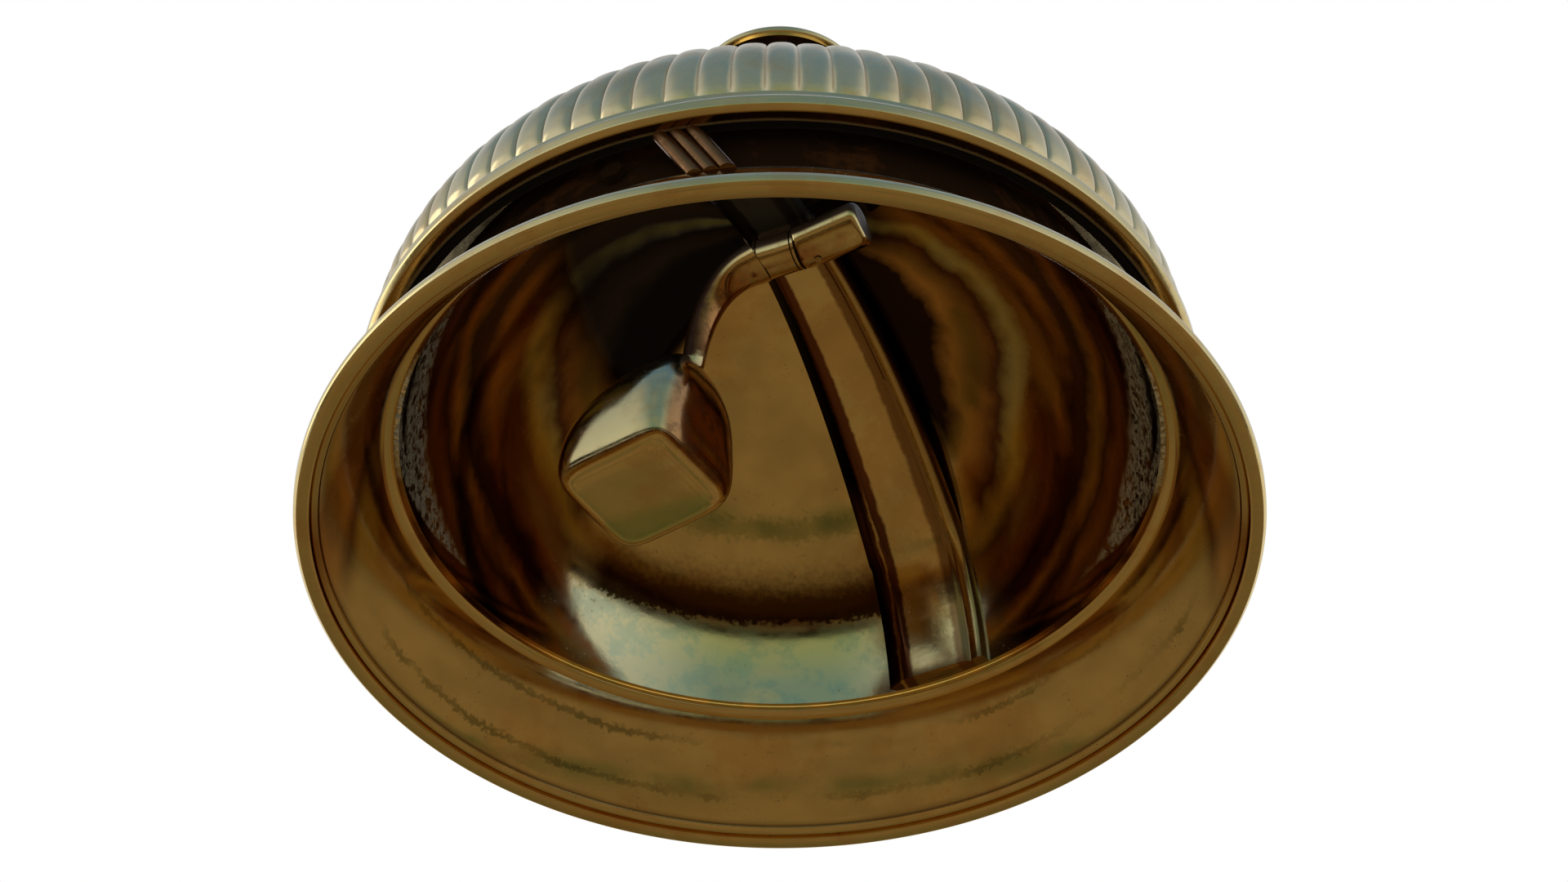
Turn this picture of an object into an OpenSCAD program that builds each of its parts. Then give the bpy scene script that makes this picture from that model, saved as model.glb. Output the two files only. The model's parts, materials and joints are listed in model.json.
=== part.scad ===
// Hanging church bell: a plain inner bell with a flared mouth, a gadrooned
// canopy dome over it, and a swinging clapper carried on one crown staple.
// Z is up. The origin is the centre of the suspension eye at the very top.
// The bell is drawn with its mouth plane at zero and then hung below the eye.

/* [Mouth] */
// Outside diameter of the lip
mouth_d = 300; // [298:0.5:304]
// Height of the lip band
lip_h = 6.4; // [5:0.1:7]
// Radial thickness of the lip band
lip_t = 5; // [4:0.1:5.5]
// Radius of the top of the flare
ledge_r = 122.4; // [121.5:0.1:123]
// Height of the top of the flare
ledge_z = 30.5; // [30:0.1:30.8]

/* [Bell body] */
// Inside radius of the waist at its bottom edge
waist_r = 117.9; // [117.5:0.1:118]
// Wall thickness of the spun shells
wall = 2.4; // [2:0.1:2.5]
// Height of the bottom edge of the waist
waist_z = 33.2; // [33:0.1:33.5]
// Height of the centre of the waist's elliptical curve
waist_mid_z = 20; // [19:0.5:21]
// Inside height of the crown
crown_in_z = 128.4; // [128:0.1:128.6]

/* [Canopy dome] */
// Number of lobes round the dome
lobes = 76; // [60:1:90]
// Radius at the foot of the grooves
dome_r = 126.3; // [126:0.1:127]
// Rise of the dome from its spring line to its apex
dome_rise = 74.1; // [73:0.1:75]
// Height of the dome's spring line
dome_z = 61.5; // [61:0.5:62]
// How far a lobe stands out of its grooves
lobe_h = 2.2; // [1:0.1:2.6]
// Turn of the first groove from +X, in degrees
lobe_turn = 2.7; // [0:0.1:4.7]
// Outside radius of the rim moulding
rim_r = 131; // [130:0.1:132]
// Inside radius of the rim moulding
rim_in_r = 121.2; // [121:0.1:121.5]
// Height of the flat underside of the rim moulding
rim_z = 51; // [50.5:0.1:51.5]

/* [Top fittings] */
// Outside radius of the shallow cup at the top
cup_r = 25.6; // [24:0.1:27]
// Height of the top edge of the cup's rim
cup_rim_z = 190.5; // [189:0.5:191]
// Height of the centre of the suspension eye
eye_z = 203; // [202.5:0.1:204]
// Radius of the suspension eye's bore
eye_bore_r = 3.5; // [3:0.1:3.6]
// Radius of the staple's shank
shank_r = 5; // [4.5:0.1:5]

/* [Strap] */
// Height of the underside of the strap at the crown
strap_z = 122.7; // [122:0.1:123]
// Thickness of the strap
strap_t = 3.5; // [3:0.1:3.6]
// Width of the strap at the crown
strap_w = 23; // [20:0.1:24]
// How much the strap widens for each millimetre away from the axis
strap_taper = 0.1; // [0.06:0.01:0.12]
// Turn of the strap about the bell's axis, away from +Y
strap_turn = -1.5; // [-3:0.5:3]

/* [Clapper] */
// Height of the clapper's swing axis
pivot_z = 115.2; // [115:0.1:115.4]
// Radius of the journal that turns in the bush
journal_r = 4.5; // [4:0.1:4.6]
// Radius of the blunt head on the end of the journal
head_r = 7.5; // [7:0.1:7.6]
// Distance of the middle of the bob from the axis of the bell
bob_x = 45.5; // [45:0.5:46]
// Height of the flat bottom of the bob
bob_z = 26.7; // [25:0.1:30]
// Width of the bob at its widest
bob_w = 45; // [42:0.5:45]
// Angle of the clapper from hanging straight down
clapper_angle = 0; // [-48:1:48]

/* [Stays] */
// Number of stays between the rim and the flare
stays = 3; // [2:1:6]
// Angle of the first stay's upper end from +X
stay_angle = -81; // [-90:1:-60]
// Angle that a stay leans through between its ends
stay_lean = 5; // [0:0.5:8]

/* [Hidden] */
$fn = 96;

tiny = 0.05;
mouth_r = mouth_d / 2;

// crown stack, from the inside of the bell upwards
crown_out_z = crown_in_z + 2.6;
plate_z = crown_out_z + 1.2;
plate_t = 2.2;
boss_z = plate_z + plate_t;
boss_h = 16;
knop_z = boss_z + boss_h;
cup_roof_z = cup_rim_z + 3.2;
cup_t = 2;
eye_foot_z = cup_roof_z + cup_t + 1.2;
plate_r = 24;
bore_r = shank_r + 0.1;

// bearing
eye_w = 11;
bush_out_r = journal_r + 1;
bush_half = eye_w / 2 + 0.3;
washer_x = bush_half + 0.2;
washer_t = 0.8;
shoulder_x = washer_x + washer_t;
head_end_x = 28.5;
journal_end_x = 20;
head_pin_x = 13;
head_pin_r = 1.25;

// half axes of the ellipse that the inside of the waist follows
in_b = crown_in_z - waist_mid_z;
in_a = waist_r / sqrt(1 - pow((waist_z - waist_mid_z) / in_b, 2));
function waist_t(z) = asin((z - waist_mid_z) / in_b);
function waist_at(z) = in_a * cos(waist_t(z));
function waist_lean(z) = atan(in_a / in_b * tan(waist_t(z)));

// strap feet
foot_gap = 0.1;
foot_z = waist_z + 1.2;
foot_top_z = 66;
foot_screw_z = 44;
foot_screw_r = 2;
foot_screw_len = 7.6;
strap_drop = 0.00507;

// flare
flare_slope = 0.333;
flare_curl = 0.01372;

// bob
bob_top_z = 79;
tenon_r = 2.8;
tenon_top = [-29.5, 79];
tenon_end = [-41, 50];

module hung() {
    translate([0, 0, -eye_z]) children();
}

module hung_strap() {
    hung() rotate([0, 0, strap_turn]) children();
}

module swung() {
    translate([0, 0, pivot_z]) rotate([clapper_angle, 0, 0])
        translate([0, 0, -pivot_z]) children();
}

module along_x(x0, x1, r) {
    translate([x0, 0, 0]) rotate([0, 90, 0]) cylinder(h = x1 - x0, r = r);
}

module ring(r_in, r_out, z0, z1) {
    rotate_extrude() translate([r_in, z0]) square([r_out - r_in, z1 - z0]);
}

// points of a quarter ellipse from its spring line (angle 0) to angle a1
function ellipse_pts(a, b, z0, a0, a1, n) =
    [for (i = [0:n]) let (t = a0 + (a1 - a0) * i / n) [a * cos(t), z0 + b * sin(t)]];

// ---------------------------------------------------------------- canopy

lobe_steps = 3;
dome_cols = lobes * lobe_steps;
dome_rows = 9;
dome_wall = 2;
dome_end = acos(plate_r / dome_r);

// height of the lobe skin above its groove at column j
function lobe_rise(j) = let (u = (j % lobe_steps) / lobe_steps) 4 * u * (1 - u);

// a lobe fades towards the crown, where the grooves run together
function lobe_fade(t) = pow(cos(t), 0.8);

function dome_pt(t, j) =
    let (up = lobe_h * lobe_rise(j) * lobe_fade(t) * 1.12,
         a = lobe_turn + 360 * j / dome_cols,
         r = (dome_r + up) * cos(t),
         z = dome_z + (dome_rise + up) * sin(t))
    [r * cos(a), r * sin(a), z];

function liner_pt(t, j) =
    let (a = lobe_turn + 360 * j / dome_cols,
         r = (t < dome_end) ? (dome_r - dome_wall) * cos(t) : plate_r,
         z = dome_z + (dome_rise - dome_wall) * sin(t))
    [r * cos(a), r * sin(a), z];

// one ring of points for each row: up the outside, then down the inside
module fluted_dome() {
    rows = dome_rows;
    outside = [for (i = [0:rows]) [for (j = [0:dome_cols - 1]) dome_pt(dome_end * i / rows, j)]];
    inside = [for (i = [rows:-1:0]) [for (k = [0:lobes - 1]) liner_pt(dome_end * i / rows, k * lobe_steps)]];
    points = [for (r = outside) each r, for (r = inside) each r];
    base = (rows + 1) * dome_cols;
    function o(i, j) = i * dome_cols + j % dome_cols;
    function n(i, k) = base + i * lobes + k % lobes;
    faces = [
        for (i = [0:rows - 1], j = [0:dome_cols - 1])
            each [[o(i, j), o(i + 1, j), o(i + 1, j + 1)], [o(i, j), o(i + 1, j + 1), o(i, j + 1)]],
        for (i = [0:rows - 1], k = [0:lobes - 1])
            each [[n(i, k), n(i + 1, k), n(i + 1, k + 1)], [n(i, k), n(i + 1, k + 1), n(i, k + 1)]],
        for (k = [0:lobes - 1])
            each [
                [n(0, k), o(rows, 3 * k + 1), o(rows, 3 * k)],
                [n(0, k), n(0, k + 1), o(rows, 3 * k + 1)],
                [n(0, k + 1), o(rows, 3 * k + 2), o(rows, 3 * k + 1)],
                [n(0, k + 1), o(rows, 3 * k + 3), o(rows, 3 * k + 2)]
            ],
        for (k = [0:lobes - 1])
            each [
                [n(rows, k), o(0, 3 * k), o(0, 3 * k + 1)],
                [n(rows, k), o(0, 3 * k + 1), n(rows, k + 1)],
                [n(rows, k + 1), o(0, 3 * k + 1), o(0, 3 * k + 2)],
                [n(rows, k + 1), o(0, 3 * k + 2), o(0, 3 * k + 3)]
            ]
    ];
    color("darkkhaki") hung() polyhedron(points, faces, convexity = 6);
}

// rolled moulding that the lobes stand on, with a step in its underside
module dome_rim() {
    groove_r = 124.5;
    color("khaki") hung() rotate_extrude() polygon([
        [rim_in_r, rim_z + 0.4],
        [groove_r - 0.6, rim_z + 0.4],
        [groove_r, rim_z + 1.2],
        [groove_r + 0.6, rim_z],
        [rim_r - 1.6, rim_z],
        [rim_r - 0.2, rim_z + 1.6],
        [rim_r, rim_z + 3.6],
        [rim_r - 0.7, rim_z + 6.4],
        [rim_r - 2.4, rim_z + 8.8],
        [dome_r + lobe_h * 1.02, dome_z - tiny],
        [dome_r - dome_wall - 0.6, dome_z - tiny],
        [rim_in_r, rim_z + 6]
    ]);
}

module crown_plate() {
    color("darkgoldenrod") hung() ring(bore_r, plate_r - tiny, plate_z, boss_z);
}

module crown_boss() {
    color("goldenrod") hung() rotate_extrude() polygon(concat(
        [[bore_r, boss_z], [23.5, boss_z], [23.5, boss_z + 2.4], [21.5, boss_z + 3.4]],
        [for (i = [0:6]) let (t = i * 15) [21.5 - 10 * sin(t), knop_z - 1.6 - 11 * cos(t)]],
        [[12.6, knop_z - 1.6], [12.6, knop_z], [bore_r, knop_z]]
    ));
}

// baluster neck that holds the cup off the dome
module neck_knop() {
    neck_h = cup_roof_z - knop_z;
    color("goldenrod") hung() rotate_extrude() polygon(concat(
        [[bore_r, knop_z], [11, knop_z], [9.4, knop_z + 3]],
        [for (i = [0:8]) let (t = -60 + 15 * i) [10 + 5 * cos(t), knop_z + neck_h * 0.42 + 5 * sin(t)]],
        [[9, knop_z + neck_h * 0.62], [8.6, cup_roof_z - 8], [12, cup_roof_z - 2]],
        [[12, cup_roof_z], [bore_r, cup_roof_z]]
    ));
}

// shallow cup, open downwards, with a thin rim
module top_cup() {
    rim_h = 2;
    color("darkkhaki") hung() rotate_extrude() polygon([
        [bore_r, cup_roof_z],
        [16, cup_roof_z],
        [cup_r - 4, cup_rim_z + 1.4],
        [cup_r - 1.9, cup_rim_z - rim_h],
        [cup_r - 0.3, cup_rim_z - rim_h],
        [cup_r, cup_rim_z - rim_h + 0.5],
        [cup_r, cup_rim_z],
        [cup_r - 3, cup_rim_z + 3.2],
        [16.6, cup_roof_z + cup_t],
        [bore_r, cup_roof_z + cup_t]
    ]);
}

module cup_washer() {
    color("silver") hung() ring(bore_r, 10, cup_roof_z + cup_t, eye_foot_z);
}

// drilled eye, threaded on to the top of the staple
module suspension_eye() {
    eye_out_r = 6;
    eye_t = 8;
    foot_h = 2.6;
    color("goldenrod") hung() difference() {
        union() {
            translate([0, 0, eye_foot_z]) cylinder(h = foot_h, r = 9);
            translate([0, 0, eye_z]) rotate([90, 0, 0])
                cylinder(h = eye_t, r = eye_out_r, center = true);
        }
        translate([0, 0, eye_z]) rotate([90, 0, 0])
            cylinder(h = eye_t + 2, r = eye_bore_r, center = true);
        translate([0, 0, eye_foot_z - 1]) cylinder(h = 2.4, r = shank_r);
        translate([-15, -15, eye_foot_z - 10]) cube([30, 30, 10]);
    }
}

// ------------------------------------------------------------- inner bell

// one long bolt: the bored eye below carries the clapper, the shank holds
// the strap, bell, canopy, neck and cup together
module crown_staple() {
    eye_out_r = 6.6;
    block_y = 4.5;
    seat_gap = 0.35;
    color("peru") hung() difference() {
        union() {
            translate([0, 0, pivot_z]) along_x(-eye_w / 2, eye_w / 2, eye_out_r);
            translate([-eye_w / 2, -block_y, pivot_z])
                cube([eye_w, 2 * block_y, strap_z - seat_gap - pivot_z]);
            translate([0, 0, pivot_z + 6]) cylinder(h = eye_foot_z + 1.4 - pivot_z - 6, r = shank_r);
        }
        translate([0, 0, pivot_z]) along_x(-eye_w, eye_w, bush_out_r);
    }
}

module felt_washer() {
    color("dimgray") hung() ring(bore_r, 22, crown_out_z, plate_z);
}

module crown_washer() {
    color("silver") hung() ring(bore_r, 12, strap_z + strap_t, crown_in_z);
}

// spun bell: an elliptical dome with a flat pad round the staple
module bell_waist() {
    pad_r = 22;
    pad_t = 76;
    n = 16;
    low_t = waist_t(waist_z);
    color("saddlebrown") hung() difference() {
        rotate_extrude($fn = 120) polygon(concat(
            ellipse_pts(in_a + wall, crown_out_z - waist_mid_z, waist_mid_z, low_t, pad_t, n),
            [[pad_r, crown_out_z], [bore_r, crown_out_z], [bore_r, crown_in_z], [pad_r - 2, crown_in_z]],
            ellipse_pts(in_a, in_b, waist_mid_z, pad_t, low_t, n)
        ));
        rotate([0, 0, strap_turn]) foot_holes();
    }
}

// bead that seams the waist to the flare and makes the inside ledge
module ledge_ring() {
    nose_r = waist_r + 1.6;
    color("khaki") hung() rotate_extrude($fn = 120) polygon([
        [nose_r, waist_z],
        [nose_r, ledge_z + 1.1],
        [nose_r + 0.8, ledge_z + 0.3],
        [ledge_r, ledge_z],
        [ledge_r + 1.8, ledge_z + 1.3],
        [ledge_r + 1.2, waist_z]
    ]);
}

// radius of the inside of the flare at a drop below its top
function flare_at(drop) = ledge_r + flare_slope * drop + flare_curl * drop * drop;

// spun mouth: steep at the ledge, curling outwards to the lip
module mouth_flare() {
    lip_in_r = mouth_r - lip_t;
    foot_z = 3.4;
    foot_r = flare_at(ledge_z - foot_z);
    back_z = 4.7;
    back_t = 2.2;
    steps = 8;
    color("peru") hung() rotate_extrude($fn = 120) polygon(concat(
        [for (i = [0:steps]) let (drop = (ledge_z - foot_z) * i / steps) [flare_at(drop), ledge_z - drop]],
        [[foot_r + 2.1, 1.6], [lip_in_r, 1.6], [lip_in_r, back_z]],
        [for (i = [steps:-1:1]) let (drop = (ledge_z - back_z) * i / steps)
            [flare_at(drop) + back_t, ledge_z - drop]],
        [[ledge_r + 1.8, ledge_z + 1.3]]
    ));
}

module lip_band() {
    color("khaki") hung() rotate_extrude($fn = 120) polygon([
        [mouth_r - lip_t, 0.5],
        [mouth_r - lip_t + 0.5, 0],
        [mouth_r - 0.9, 0],
        [mouth_r - 0.2, 0.8],
        [mouth_r, 2.2],
        [mouth_r - 0.3, 4.4],
        [mouth_r - 1.4, lip_h],
        [mouth_r - lip_t + 0.6, lip_h],
        [mouth_r - lip_t, lip_h - 0.6]
    ]);
}

// ---------------------------------------------------------------- strap

function strap_under(y) = strap_z - strap_drop * y * y;

// arch of strap across the bell; its feet widen and lie against the waist
module arch_strap() {
    knee_y = waist_at(foot_top_z) - foot_gap - strap_t;
    back_y = knee_y + 1;
    steps = 16;
    foot_steps = 6;
    end_y = waist_at(foot_z);
    end_w = strap_w + strap_taper * end_y;
    under = [for (i = [-steps:steps]) let (y = knee_y * i / steps) [y, strap_under(y)]];
    over = [for (i = [steps:-1:-steps]) let (y = back_y * i / steps)
        [y, strap_z + strap_t - strap_drop * 0.98 * y * y]];
    drop = [for (i = [0:foot_steps]) foot_top_z + (foot_z - foot_top_z) * i / foot_steps];
    face = [for (z = drop) [waist_at(z) - foot_gap - strap_t, z]];
    color("chocolate") hung_strap() difference() {
        intersection() {
            rotate([90, 0, 90]) linear_extrude(60, center = true) polygon(concat(
                under, face,
                [[end_y, foot_z], [end_y, foot_top_z]], over, [[-end_y, foot_top_z], [-end_y, foot_z]],
                [for (i = [foot_steps:-1:0]) [-face[i][0], face[i][1]]]
            ));
            linear_extrude(150) polygon([
                [-strap_w / 2, 0], [-end_w / 2, end_y + 1], [end_w / 2, end_y + 1],
                [strap_w / 2, 0], [end_w / 2, -end_y - 1], [-end_w / 2, -end_y - 1]
            ]);
            rotate_extrude($fn = 120) polygon(concat(
                [[0, foot_z]],
                [for (i = [0:24]) let (z = foot_z + (crown_in_z - 2 - foot_z) * i / 24)
                    [waist_at(z) - foot_gap, z]],
                [[0, crown_in_z - 2]]
            ));
        }
        translate([0, 0, strap_z - 5]) cylinder(h = 15, r = bore_r);
        foot_holes();
        for (s = [-1, 1]) at_foot(s) sunk_head(0.1);
    }
}

// a foot screw's place on the inside of the waist, with +Z outwards
module at_foot(s) {
    translate([0, s * waist_at(foot_screw_z), foot_screw_z])
        rotate([-s * (90 - waist_lean(foot_screw_z)), 0, 0]) children();
}

// clearance holes for the two foot screws, through strap and waist
module foot_holes() {
    for (s = [-1, 1]) at_foot(s) cylinder(h = 20, r = foot_screw_r + 0.1, center = true);
}

// a screw head sunk into the strap, or its seat with room all round
module sunk_head(room) {
    face = -foot_gap - strap_t;
    head_screw_r = 3.8;
    head_screw_h = 1.8;
    rotate_extrude() polygon([
        [0, face + 0.2 - 4 * room],
        [head_screw_r + room, face + 0.2 - 4 * room],
        [head_screw_r + room, face + 0.4],
        [foot_screw_r + room, face + 0.4 + head_screw_h],
        [0, face + 0.4 + head_screw_h]
    ]);
}

module strap_screws() {
    for (s = [-1, 1]) color("darkgoldenrod") hung_strap() at_foot(s) {
        sunk_head(0);
        translate([0, 0, -foot_gap - strap_t + 1]) cylinder(h = foot_screw_len, r = foot_screw_r);
    }
}

module strap_nuts() {
    for (s = [-1, 1]) color("darkgoldenrod") hung_strap() at_foot(s)
        translate([0, 0, wall + 0.15]) difference() {
            cylinder(h = 3, r = 4, $fn = 6);
            translate([0, 0, -1]) cylinder(h = 3.6, r = foot_screw_r);
        }
}

// --------------------------------------------------------------- clapper

module bearing_bush() {
    color("orange") hung() translate([0, 0, pivot_z]) difference() {
        along_x(-bush_half, bush_half, bush_out_r);
        along_x(-bush_half - 1, bush_half + 1, journal_r + 0.05);
    }
}

module thrust_washers() {
    color("silver") hung() translate([0, 0, pivot_z]) for (s = [0, 1]) mirror([s, 0, 0])
        difference() {
            along_x(washer_x, shoulder_x, 6.6);
            along_x(washer_x - 1, shoulder_x + 1, journal_r);
        }
}

// centre line of the horn in X and Z: a level start, then a quarter bend
// down into the bob, with the thickness falling off along it
horn_n = 18;
horn_sides = 16;
horn_start = [-shoulder_x, pivot_z - 0.4];
function horn_c(u) =
    let (p0 = horn_start, p1 = [-20.5, pivot_z - 1.4], p2 = [-27, 100], p3 = tenon_top)
    pow(1 - u, 3) * p0 + 3 * u * pow(1 - u, 2) * p1 + 3 * u * u * (1 - u) * p2 + pow(u, 3) * p3;
function horn_r(u) = 6.1 - 5.2 * u + 2.4 * u * u;
function horn_dir(u) =
    let (d = horn_c(min(u + 0.01, 1)) - horn_c(max(u - 0.01, 0))) d / norm(d);

module horn() {
    rings = [for (i = [0:horn_n]) let (u = i / horn_n, c = horn_c(u), d = horn_dir(u), r = horn_r(u))
        [for (j = [0:horn_sides - 1]) let (a = 360 * j / horn_sides)
            [c.x + r * cos(a) * d.y, r * sin(a), c.y - r * cos(a) * d.x]]];
    points = [for (r = rings) each r];
    last = horn_n * horn_sides;
    faces = concat(
        [for (i = [0:horn_n - 1], j = [0:horn_sides - 1])
            let (k = (j + 1) % horn_sides, b = i * horn_sides, t = b + horn_sides)
            each [[b + j, t + j, t + k], [b + j, t + k, b + k]]],
        [[for (j = [0:horn_sides - 1]) j]],
        [[for (j = [horn_sides - 1:-1:0]) last + j]]
    );
    polyhedron(points, faces, convexity = 4);
}

tenon_len = norm(tenon_end - tenon_top);
tenon_lean = atan2(tenon_top.x - tenon_end.x, tenon_top.y - tenon_end.y);

module tenon(r, extra) {
    translate([tenon_top.x, 0, tenon_top.y]) rotate([0, 180 + tenon_lean, 0])
        translate([0, 0, -extra]) cylinder(h = tenon_len + extra, r = r);
}

module clapper_arm() {
    color("peru") hung() swung() difference() {
        union() {
            translate([0, 0, pivot_z]) along_x(-shoulder_x - 2, journal_end_x, journal_r);
            horn();
            tenon(tenon_r, 1.5);
        }
        translate([head_pin_x, 0, pivot_z - 15]) cylinder(h = 30, r = head_pin_r);
        across_bob(60);
    }
}

module arm_head() {
    color("peru") hung() swung() translate([0, 0, pivot_z]) difference() {
        rotate([0, 90, 0]) rotate_extrude() polygon([
            [0, shoulder_x], [6.6, shoulder_x], [7, shoulder_x + 1.5], [head_r, 16],
            [head_r, head_end_x - 3.4], [head_r - 1, head_end_x - 1], [head_r - 2.8, head_end_x],
            [0, head_end_x]
        ]);
        along_x(shoulder_x - 1, journal_end_x, journal_r);
        translate([head_pin_x, 0, -15]) cylinder(h = 30, r = head_pin_r);
    }
}

module head_pin() {
    color("silver") hung() swung() translate([head_pin_x, 0, pivot_z - 7.1])
        cylinder(h = 14.2, r = head_pin_r);
}

pin_at = tenon_top + (tenon_end - tenon_top) * 0.62;
bob_pin_r = 1.5;

module across_bob(h) {
    translate([pin_at.x, 0, pin_at.y]) rotate([90, 0, 0]) cylinder(h = h, r = bob_pin_r, center = true);
}

// corners of one rounded square layer of the bob
module bob_layer(x, z, h, w, r) {
    for (sx = [-1, 1], sy = [-1, 1])
        translate([x + sx * (w / 2 - r), sy * (w / 2 - r), z]) cylinder(h = h, r = r, $fn = 32);
}

module clapper_bob() {
    color("peru") hung() swung() difference() {
        hull() {
            bob_layer(-bob_x - 0.5, bob_z, 1, 37, 5);
            bob_layer(-bob_x, bob_z + 8, 16, bob_w, 9);
            bob_layer(-bob_x + 3.5, bob_z + 38, 1, 35, 10);
            bob_layer(-bob_x + 8.5, bob_top_z - 2, 1, 19, 7);
        }
        tenon(tenon_r, 10);
        across_bob(60);
    }
}

module bob_pin() {
    color("silver") hung() swung() across_bob(35.6);
}

// ----------------------------------------------------------------- stays

// a leaning bar of three ribs from the rim down to the back of the ledge
module stay() {
    rib_r = 2.3;
    rib_pitch = 4.4;
    over = 6;
    top_r = rim_in_r + 2.4;
    foot_r = ledge_r + 0.7;
    foot = [foot_r * cos(stay_lean), foot_r * sin(stay_lean), waist_z];
    run = [top_r, 0, rim_z] - foot;
    intersection() {
        translate(foot) rotate([-atan2(run.y, run.z), atan2(run.x, run.z), 0])
            translate([0, 0, -over]) linear_extrude(norm(run) + 2 * over)
                for (k = [-1:1]) translate([0, k * rib_pitch]) circle(r = rib_r, $fn = 32);
        ring(waist_r + wall + 0.2, rim_r, waist_z, rim_z);
    }
}

module rim_stays() {
    for (k = [0:stays - 1]) color("sienna") hung()
        rotate([0, 0, stay_angle + 360 * k / stays]) stay();
}

fluted_dome();
dome_rim();
crown_plate();
crown_boss();
neck_knop();
top_cup();
cup_washer();
suspension_eye();
crown_staple();
felt_washer();
bell_waist();
ledge_ring();
mouth_flare();
lip_band();
crown_washer();
arch_strap();
strap_screws();
strap_nuts();
bearing_bush();
thrust_washers();
clapper_arm();
arm_head();
head_pin();
clapper_bob();
bob_pin();
rim_stays();
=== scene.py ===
"""Looks for the hanging church bell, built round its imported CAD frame. Metres, +Z up."""

import json
import math

import bpy
from mathutils import Matrix, Vector, noise


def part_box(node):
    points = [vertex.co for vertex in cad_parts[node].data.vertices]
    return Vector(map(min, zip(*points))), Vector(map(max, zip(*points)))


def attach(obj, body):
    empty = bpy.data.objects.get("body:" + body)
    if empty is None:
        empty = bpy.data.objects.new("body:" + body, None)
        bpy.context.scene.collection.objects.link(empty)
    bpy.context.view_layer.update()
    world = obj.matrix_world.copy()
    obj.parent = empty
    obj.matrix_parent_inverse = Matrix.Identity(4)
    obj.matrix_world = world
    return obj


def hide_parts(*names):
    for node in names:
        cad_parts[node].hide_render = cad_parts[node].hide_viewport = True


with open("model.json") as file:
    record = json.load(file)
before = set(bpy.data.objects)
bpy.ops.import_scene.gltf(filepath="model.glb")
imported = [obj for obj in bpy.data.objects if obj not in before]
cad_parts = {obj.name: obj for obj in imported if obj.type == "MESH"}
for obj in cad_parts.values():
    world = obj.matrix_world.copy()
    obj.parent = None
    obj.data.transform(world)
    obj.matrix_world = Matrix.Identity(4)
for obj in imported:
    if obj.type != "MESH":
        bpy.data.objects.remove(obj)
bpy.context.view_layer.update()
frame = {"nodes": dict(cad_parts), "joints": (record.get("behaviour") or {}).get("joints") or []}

MM = 0.001
MOUTH_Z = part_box("lip_band")[0].z
BELL, CLAPPER = "bell", "clapper"

# ------------------------------------------------------------------ camera

VIEW_AZIMUTH = math.radians(23.7)
VIEW_ELEVATION = math.radians(-43.5)
VIEW_DISTANCE = 5.58
AIM_HEIGHT = 35.1 * MM
AIM_RIGHT = 1.3 * MM
VIEW_WIDTH = math.radians(4.98)
SENSOR = 36.0


def make_camera():
    a, e = VIEW_AZIMUTH, VIEW_ELEVATION
    back = Vector((math.sin(a) * math.cos(e), -math.cos(a) * math.cos(e), math.sin(e)))
    right = Vector((math.cos(a), math.sin(a), 0))
    aim = Vector((0, 0, MOUTH_Z + AIM_HEIGHT)) + right * AIM_RIGHT
    data = bpy.data.cameras.new("camera")
    data.sensor_width = SENSOR
    data.lens = SENSOR / 2 / math.tan(VIEW_WIDTH / 2)
    data.clip_start, data.clip_end = 0.1, 100
    camera = bpy.data.objects.new("camera", data)
    camera.location = aim + back * VIEW_DISTANCE
    camera.rotation_mode = "QUATERNION"
    camera.rotation_quaternion = (-back).to_track_quat("-Z", "Y")
    bpy.context.scene.collection.objects.link(camera)
    bpy.context.scene.camera = camera


# --------------------------------------------------------------- materials


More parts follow.
